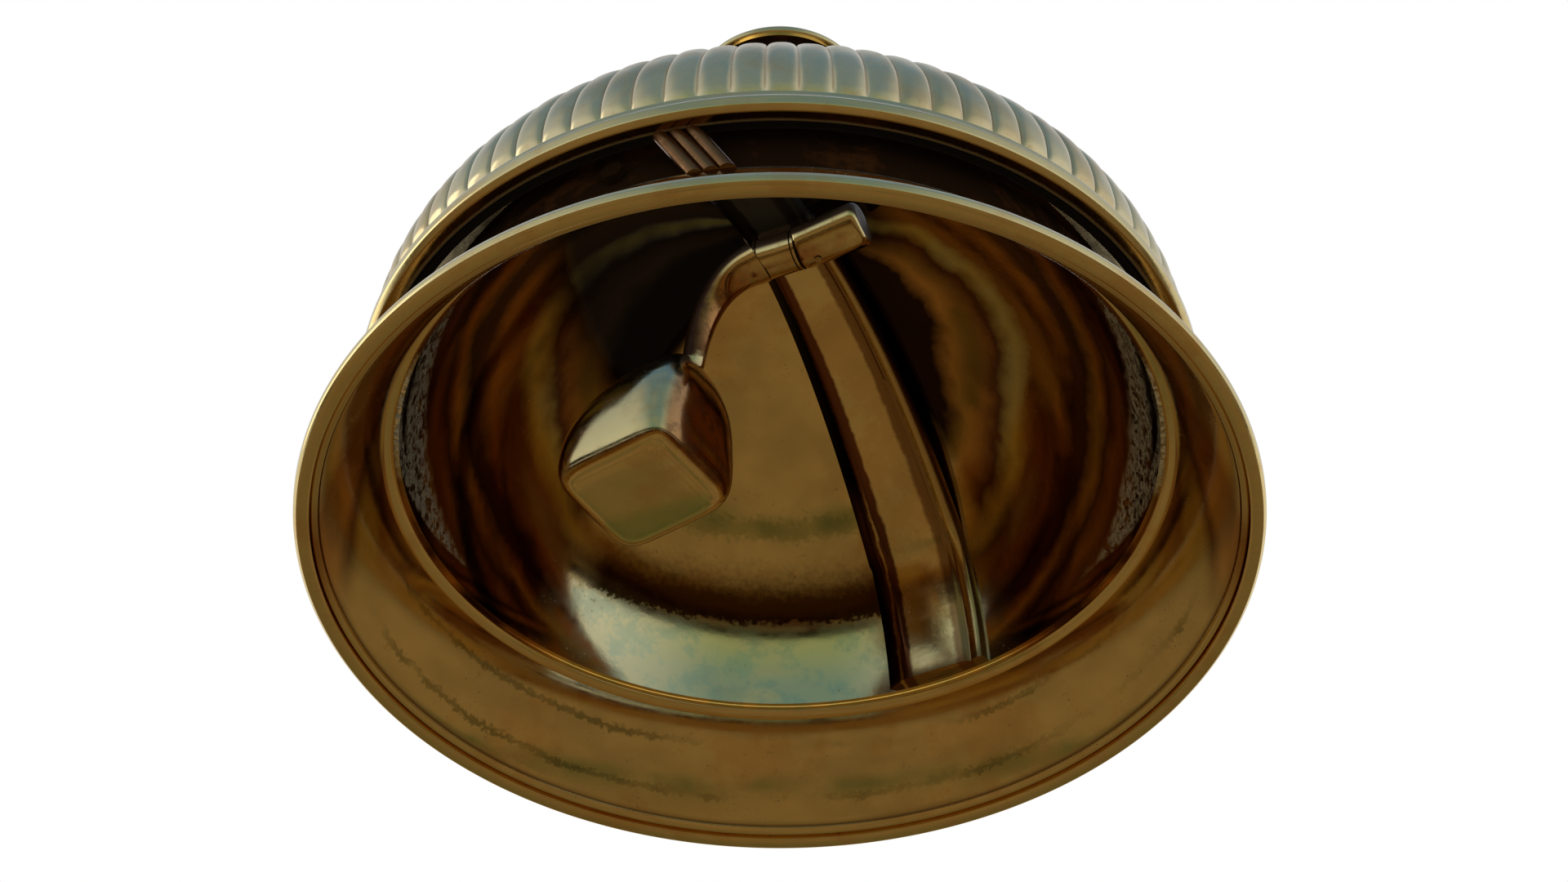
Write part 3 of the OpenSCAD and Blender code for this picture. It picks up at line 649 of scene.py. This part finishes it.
def make_waist():
    low = math.asin((WAIST_Z - WAIST_MID) / HALF_HIGH)
    high = math.radians(80)
    steps = 56
    inside = ellipse(HALF_WIDE, HALF_HIGH, low, high, steps) + [Vector((BORE_R, CROWN_IN))]
    outside = ellipse(HALF_WIDE + WALL, CROWN_OUT - WAIST_MID, low, high, steps)
    outside += [Vector((BORE_R, CROWN_OUT))]
    outline = inside + outside[::-1]
    segments = 320
    points, faces = lathe_mesh(outline, segments)
    count = len(outline)
    camera_side = Vector((math.sin(VIEW_AZIMUTH), -math.cos(VIEW_AZIMUTH), 0))
    near, far = [], []
    for face in faces:
        middle = sum((points[i] for i in face), Vector()) / 4
        height = (middle.z - MOUTH_Z) / MM
        hidden = middle.dot(camera_side) / MM > SPLIT_AHEAD and height > SPLIT_H
        (near if hidden else far).append(face)
    for name, chosen in (("waist", far), ("waist_front", near)):
        used = sorted({i for face in chosen for i in face})
        order = {v: i for i, v in enumerate(used)}
        made = piece(name, [points[i] for i in used], [tuple(order[i] for i in f) for f in chosen],
                     [SPUN, BLACK_SHADE_METAL], BELL, ["bell_waist"], 50)
        for polygon in made.data.polygons:
            others = [used[v] % count for v in polygon.vertices]
            # the outer faces get the near black painted shade
            polygon.material_index = 1 if min(others) >= len(inside) else 0
        if name == "waist_front":
            made.visible_glossy = False


# --------------------------------------------------------------- the canopy

LOBES = 76
LOBE_COLUMNS = 14
LOBE_TURN = math.radians(2.7)
DOME_R = 126.3
DOME_RISE = 74.1
DOME_Z = height_of("fluted_dome")
LOBE_H = 1.5
DOME_WALL = 2.0
PLATE_R = 24.0


def lobe_height(u, lobe):
    """Height of a lobe over its groove at 0 to 1 across it: a flat-topped bulge with a tight groove."""
    side = abs(2 * u - 1)
    return (1 - side ** 2.6) ** 0.62 * (1 + 0.05 * math.sin(lobe * 2.4))


def make_canopy():
    rows = 64
    columns = LOBES * LOBE_COLUMNS
    end = math.acos(PLATE_R / DOME_R)
    points, faces = [], []
    for i in range(rows + 1):
        t = end * i / rows
        foot = min(1.0, (i + 0.6) / 2.2)
        for j in range(columns):
            lobe, step = divmod(j, LOBE_COLUMNS)
            up = LOBE_H * lobe_height(step / LOBE_COLUMNS, lobe) * math.cos(t) ** 0.8 * foot
            a = LOBE_TURN + 2 * math.pi * j / columns
            beat = 0.16 * noise.noise(Vector((math.cos(a) * 9, math.sin(a) * 9, t * 7)))
            r = (DOME_R + up + beat) * math.cos(t)
            z = DOME_Z + (DOME_RISE + up + beat) * math.sin(t)
            points.append(Vector((r * MM * math.cos(a), r * MM * math.sin(a), MOUTH_Z + z * MM)))
    for i in range(rows, -1, -2):
        t = end * i / rows
        for j in range(columns):
            a = LOBE_TURN + 2 * math.pi * j / columns
            r = (DOME_R - DOME_WALL) * math.cos(t) if i < rows else PLATE_R
            z = DOME_Z + (DOME_RISE - DOME_WALL) * math.sin(t)
            points.append(Vector((r * MM * math.cos(a), r * MM * math.sin(a), MOUTH_Z + z * MM)))
    rings = len(points) // columns
    for i in range(rings):
        k = (i + 1) % rings
        for j in range(columns):
            m = (j + 1) % columns
            faces.append((i * columns + j, i * columns + m, k * columns + m, k * columns + j))
    dome = piece("canopy", points, faces, [FLUTED], BELL, ["fluted_dome"], 50)
    dome.visible_glossy = False

    rim_r = radius_of("dome_rim")
    rim_in = 121.2
    z = height_of("dome_rim")
    lathe("canopy_rim", [
        (rim_in, z + 0.5, 0.4), (123.6, z + 0.5, 0.3), (124.5, z + 1.4, 0.3), (125.1, z, 0.4),
        (rim_r - 1.5, z, 0.7), (rim_r, z + 2.2, 1.5), (rim_r - 0.3, z + 5.6, 2.2),
        (rim_r - 2.6, z + 8.6, 1.2),
        (DOME_R + LOBE_H + 0.1, DOME_Z, 0.5), (DOME_R - DOME_WALL - 0.6, DOME_Z, 0), (rim_in, z + 6, 0.5),
    ], RIM, "dome_rim", 384)


# ----------------------------------------------------------- the top fittings


def make_top():
    boss_z, knop_z = height_of("crown_boss"), height_of("crown_boss", True)
    cove = [(21.5 - 10 * math.sin(t), knop_z - 1.6 - 11 * math.cos(t), 0)
            for t in (math.radians(10 * i) for i in range(10))]
    lathe("boss", [(BORE_R, boss_z, 0), (23.5, boss_z, 0.3), (23.5, boss_z + 2.4, 0.6),
                   (21.5, boss_z + 3.4, 0.3)] + cove[1:]
          + [(12.6, knop_z - 1.6, 0.3), (12.6, knop_z, 0.3), (BORE_R, knop_z, 0)],
          TURNED, "crown_boss", 192)

    roof = height_of("neck_knop", True)
    tall = roof - knop_z
    ball = [(10 + 5 * math.cos(t), knop_z + tall * 0.42 + 5 * math.sin(t), 0)
            for t in (math.radians(-60 + 8 * i) for i in range(16))]
    lathe("neck", [(BORE_R, knop_z, 0), (11, knop_z, 0.3), (9.4, knop_z + 3, 0.8)] + ball
          + [(9, knop_z + tall * 0.62, 1.5), (8.6, roof - 8, 2.5), (12, roof - 2, 0.8), (12, roof, 0.2),
             (BORE_R, roof, 0)], TURNED, "neck_knop", 192)

    cup_r = radius_of("top_cup")
    rim = height_of("top_cup")
    cup = lathe("cup", [
        (BORE_R, roof, 0), (16, roof, 4), (cup_r - 4, rim + 3.4, 2), (cup_r - 1.9, rim, 0.3),
        (cup_r - 0.3, rim, 0.3), (cup_r, rim + 0.5, 0.3), (cup_r, rim + 2, 1.5), (cup_r - 3, rim + 5.2, 2),
        (16.6, roof + 2, 2), (BORE_R, roof + 2, 0),
    ], TURNED, "top_cup", 192)
    # the inside of the cup gets the near black painted shade
    cup.data.materials.append(BLACK_SHADE_METAL)
    for polygon in cup.data.polygons:
        radius = polygon.center.xy.length / MM
        middle = roof + 1 - max(0.0, radius - 15) * 0.5
        inside = (polygon.center.z - MOUTH_Z) / MM < middle and radius < cup_r - 2.2
        polygon.material_index = 1 if inside else 0


# ---------------------------------------------------------------- the strap


def strap_section(half, thick):
    """(sideways, depth) points across the strap: sloping left flank, crest, groove and right bead."""
    face = []
    for i in range(45):
        s = -1 + 2 * i / 44
        flank = min(1.0, (s + 1) / 0.5)
        rise = (0.12 + 0.88 * math.sin(flank * math.pi / 2)) * (thick + STRAP_CREST)
        fall = 0.5 * max(0.0, s + 0.3) ** 2
        groove = 0.9 * math.exp(-((s - 0.70) / 0.06) ** 2)
        bead = 0.35 * math.exp(-((s - 0.87) / 0.07) ** 2)
        edge = (thick - 0.4) * max(0.0, (s - 0.93) / 0.07) ** 2
        face.append((s * half, -max(0.2, rise - fall - groove + bead - edge)))
    return face + [(half * 0.98, 0.0), (0, 0.0), (-half * 0.98, 0.0)]


def strap_path():
    """(y, z) along the back of one half of the strap, from the crown to the foot, in millimetres."""
    foot_z = height_of("arch_strap")
    gap = 0.15
    knee = 66.0
    arch_end = waist_at(knee) - gap
    line = []
    for y in (arch_end * i / 26 for i in range(27)):
        z = STRAP_Z + STRAP_T - STRAP_DROP * 0.98 * y * y
        limit = waist_at(z) - gap
        line.append((min(y, limit), z))
    line = [p for p in line if p[1] > knee + 3]
    line += [(waist_at(z) - gap, z) for z in (knee - (knee - foot_z) * i / 10 for i in range(11))]
    return line


def strap_half(name, path, seen_in_metal):
    """One half of the strap swept along its back line."""
    points = []
    for i, (y, z) in enumerate(path):
        y0, z0 = path[max(i - 1, 0)]
        y1, z1 = path[min(i + 1, len(path) - 1)]
        along = Vector((0, y1 - y0, z1 - z0)).normalized()
        out = Vector((0, -along.z, along.y))
        half = (STRAP_W + STRAP_TAPER * abs(y)) / 2
        for side, depth in strap_section(half, STRAP_T):
            p = Vector((side, y, z)) + out * depth
            points.append(Vector((p.x * MM, p.y * MM, MOUTH_Z + p.z * MM)))
    turned = Matrix.Rotation(STRAP_TURN, 3, "Z")
    points = [turned @ p for p in points]
    faces = swept_faces(len(path), len(strap_section(1, 1)))
    obj = piece(name, points, faces, [STRAP], BELL, ["arch_strap"], 45)
    obj.visible_glossy = seen_in_metal


def make_strap():
    line = strap_path()
    strap_half("strap", line, True)
    strap_half("strap_front", [(-y, z) for y, z in line[::-1]], False)


# -------------------------------------------------------------- the clapper

PIVOT_Z = (frame["joints"][0]["pos_m"][2] - MOUTH_Z) / MM
SHOULDER_X = 6.8
HORN = [Vector(p) for p in (
    (-SHOULDER_X, PIVOT_Z - 0.4), (-20.5, PIVOT_Z - 1.4), (-27.0, 100.0), (-29.5, 79.0),
)]
TENON_END = Vector((-41.0, 50.0))
HEAD_RISE = 3.2
BOB_TURN = math.radians(-11)


def bezier(p, t):
    return p[0] * (1 - t) ** 3 + p[1] * 3 * t * (1 - t) ** 2 + p[2] * 3 * t * t * (1 - t) + p[3] * t ** 3


def tube(name, line, material, node, sides=48, flat=0.0):
    """A closed tube round (x, z, radius) points in the arm's plane; flat pares it to a diamond."""
    points = []
    for i, (x, z, r) in enumerate(line):
        x0, z0, _ = line[max(i - 1, 0)]
        x1, z1, _ = line[min(i + 1, len(line) - 1)]
        along = Vector((x1 - x0, 0, z1 - z0))
        if along.length < 1e-6:
            along = Vector((1, 0, 0))
        along.normalize()
        side = Vector((0, 1, 0))
        up = along.cross(side)
        for j in range(sides):
            a = 2 * math.pi * j / sides
            grow = squircle(a, 2.0 + flat)
            c, s = math.cos(a + math.pi / 4), math.sin(a + math.pi / 4)
            p = Vector((x, 0, z)) + (side * c + up * s) * r * grow
            points.append(Vector((p.x * MM, p.y * MM, MOUTH_Z + p.z * MM)))
    faces = swept_faces(len(line), sides)
    return piece(name, points, faces, [material], CLAPPER, [node], 50)


def make_clapper():
    journal_r, journal_end = 4.45, 20.0
    line = [(journal_end, PIVOT_Z, journal_r), (-SHOULDER_X + 0.05, PIVOT_Z, journal_r)]
    steps = 34
    for i in range(steps + 1):
        u = i / steps
        p = bezier(HORN, u)
        line.append((p.x, p.y, 6.9 - 5.0 * u + 1.6 * u * u))
    line += [(TENON_END.x, TENON_END.y, 2.8)]
    tube("arm", line, CLAP, "clapper_arm", 48, 0.5)

    head_r, end_x = 7.4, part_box("arm_head")[1].x / MM
    shape = [(SHOULDER_X, 5.4), (SHOULDER_X, 6.3), (SHOULDER_X + 0.4, 6.7)]
    shape += [(SHOULDER_X + 0.8 + 1.5 * i, 6.9 + 0.5 * i / 11) for i in range(12)]
    shape += [(end_x - 2.4 + 2.4 * math.sin(t), head_r - 2.2 + 2.2 * math.cos(t))
              for t in (math.radians(10 * i) for i in range(10))]
    shape += [(end_x, 2.5), (end_x, 0.4)]
    rise = HEAD_RISE / (end_x - SHOULDER_X)
    tube("head", [(x, PIVOT_Z + rise * (x - SHOULDER_X), r) for x, r in shape],
         CLAP, "arm_head", 64, 0.5)
    make_bob()


def squircle(angle, power):
    c, s = math.cos(angle), math.sin(angle)
    return (abs(c) ** power + abs(s) ** power) ** (-1 / power)


def make_bob():
    """A squared drop: flat bottom, rounded cube body, and shoulders that run up into the arm."""
    low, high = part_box("clapper_bob")
    x0 = (low.x + high.x) / 2 / MM
    z0 = height_of("clapper_bob")
    # height over the bottom, half width, squareness, lean in X and in Y
    layers = [
        (0.0, 1.0, 6, -0.4, -1.8), (0.0, 8.0, 7, -0.4, -1.8), (0.0, 14.4, 7, -0.4, -1.8),
        (0.1, 15.8, 7, -0.4, -1.8), (0.6, 17.4, 6.5, -0.4, -1.8), (1.8, 19.1, 6, -0.3, -1.6),
        (4.0, 20.9, 5.5, -0.2, -1.2), (8.0, 22.2, 5, 0, -0.8),
        (13.0, 22.6, 4.6, 0.2, -0.4), (19.0, 22.5, 4.2, 0.7, -0.2), (24.0, 22.0, 3.9, 1.5, 0),
        (30.0, 20.8, 3.6, 3.2, 0), (36.0, 18.8, 3.3, 5.0, 0), (42.0, 15.8, 3.0, 6.6, 0),
        (46.5, 12.8, 2.7, 7.8, 0), (50.0, 9.8, 2.4, 9.0, 0), (52.6, 7.0, 2.2, 10.6, 0),
        (54.0, 4.0, 2.0, 13.0, 0),
    ]
    sides = 96
    points = []
    for dz, wide, power, lean, lean_y in layers:
        for j in range(sides):
            a = 2 * math.pi * j / sides
            g = wide * squircle(a, power)
            x = x0 + lean + g * math.cos(a + BOB_TURN)
            y = lean_y + g * math.sin(a + BOB_TURN)
            points.append(Vector((x * MM, y * MM, MOUTH_Z + (z0 + dz) * MM)))
    faces = swept_faces(len(layers), sides)
    bob = piece("bob", points, faces, [CLAP], CLAPPER, ["clapper_bob"], 60)
    smooth = bob.modifiers.new("round", "SUBSURF")
    smooth.levels = smooth.render_levels = 1


# ------------------------------------------------------- the CAD nodes that stay

KEPT = {
    "crown_plate": TURNED, "suspension_eye": TURNED, "crown_staple": CLAP, "strap_screws": TURNED,
    # the nuts in the gap get the near black painted shade
    "strap_nuts": BLACK_SHADE_METAL, "bearing_bush": BRONZE, "thrust_washers": CLAP, "cup_washer": STEEL,
    "crown_washer": STEEL, "head_pin": CLAP, "bob_pin": CLAP, "felt_washer": FELT, "rim_stays": STAY,
}


def paint_kept():
    for name, material in KEPT.items():
        node = frame["nodes"][name]
        node.data.materials.clear()
        node.data.materials.append(material)
        for slot_ in node.material_slots:
            slot_.material = material


# ----------------------------------------------------------- floor and light

FLOOR_Z = -11.0
FLOOR_HALF = 22.0


def make_floor():
    steps = 8
    side = [-FLOOR_HALF + 2 * FLOOR_HALF * i / steps for i in range(steps + 1)]
    points = [(x, y, FLOOR_Z) for y in side for x in side]
    row = steps + 1
    faces = [(j * row + i, j * row + i + 1, (j + 1) * row + i + 1, (j + 1) * row + i)
             for j in range(steps) for i in range(steps)]
    mesh = bpy.data.meshes.new("floor")
    mesh.from_pydata(points, [], faces)
    floor = bpy.data.objects.new("floor", mesh)
    bpy.context.scene.collection.objects.link(floor)
    material, n = new_material("floor_paint")
    where = n.add("ShaderNodeTexCoord").outputs["Object"]
    shader = n.add("ShaderNodeBsdfPrincipled")
    paint = n.mix(n.noise(where, 2.0, 5), (0.74, 0.73, 0.71), (0.80, 0.79, 0.77))
    n.put(shader.inputs["Base Color"], paint)
    shader.inputs["Roughness"].default_value = 0.8
    n.link(shader.outputs["BSDF"], n.add("ShaderNodeOutputMaterial").inputs["Surface"])
    mesh.materials.append(material)
    floor.visible_glossy = False


def make_world():
    """White to the eye; in reflections, a pale sky over warm ground, as the bell would see out of doors."""
    world = bpy.data.worlds.new("studio")
    bpy.context.scene.world = world
    world.use_nodes = True
    n = Nodes(world.node_tree)
    place = n.add("ShaderNodeTexCoord").outputs["Generated"]
    turn = n.add("ShaderNodeMapping", vector_type="POINT")
    n.put(turn.inputs["Vector"], place)
    turn.inputs["Rotation"].default_value = (0, 0, -VIEW_AZIMUTH)
    direction = turn.outputs["Vector"]
    x, y, up = n.split(direction)

    sky = n.mix(n.span(up, 0.0, 0.4), (0.27, 0.35, 0.22), (0.17, 0.29, 0.36))
    sky = n.mix(n.span(up, 0.4, 0.95), sky, (0.14, 0.25, 0.42))
    clouds = n.noise(n.stretched(direction, (1.0, 1.0, 2.2)), 3.2, 6, 0.6, 0.6)
    sky = n.mix(n.span(clouds, 0.48, 0.66, 0.0, 0.45), sky, (0.32, 0.34, 0.28))
    aside = n.math("ABSOLUTE", x)
    sky = n.mix(n.span(aside, 0.2, 0.9, 0.0, 0.8), sky, (0.72, 0.80, 0.95))
    sky = n.lay_over(sky, n.span(y, 0.1, 0.9), 0.8, (0.95, 0.95, 0.95))

    earth = n.noise(direction, 5.0, 5, 0.6, 0.3)
    ground = n.mix(n.span(earth, 0.35, 0.65), (0.215, 0.152, 0.075), (0.165, 0.118, 0.058))
    grass = n.band(up, (-0.70, -0.62), (-0.60, -0.54))
    grass = n.math("MULTIPLY", grass, n.span(earth, 0.38, 0.55, 0.2, 0.9))
    ground = n.mix(grass, ground, (0.085, 0.085, 0.035))
    ground = n.mix(n.span(up, -0.16, -0.02), ground, (0.09, 0.075, 0.04))
    seen = n.mix(n.span(n.stir(up, clouds, 0.05), -0.012, 0.012), ground, sky)

    path = n.add("ShaderNodeLightPath")
    colour = n.mix(path.outputs["Is Glossy Ray"], (1.0, 1.0, 1.0), seen)
    background = n.add("ShaderNodeBackground")
    n.put(background.inputs["Color"], colour)
    background.inputs["Strength"].default_value = 1.0
    n.link(background.outputs["Background"], n.add("ShaderNodeOutputWorld").inputs["Surface"])


def make_light():
    """One large soft box, up on the left."""
    data = bpy.data.lights.new("soft_box", "AREA")
    data.shape = "RECTANGLE"
    data.size, data.size_y = 2.4, 2.4
    data.energy = 18
    data.color = (1.0, 0.98, 0.94)
    light = bpy.data.objects.new("soft_box", data)
    light.location = (-3.2, -0.6, 1.2)
    light.rotation_mode = "QUATERNION"
    light.rotation_quaternion = (-Vector(light.location)).to_track_quat("-Z", "Y")
    bpy.context.scene.collection.objects.link(light)


make_camera()
make_world()
make_light()
make_floor()
make_mouth()
make_waist()
make_canopy()
make_top()
make_strap()
make_clapper()
paint_kept()
bpy.context.scene.view_settings.view_transform = "Standard"
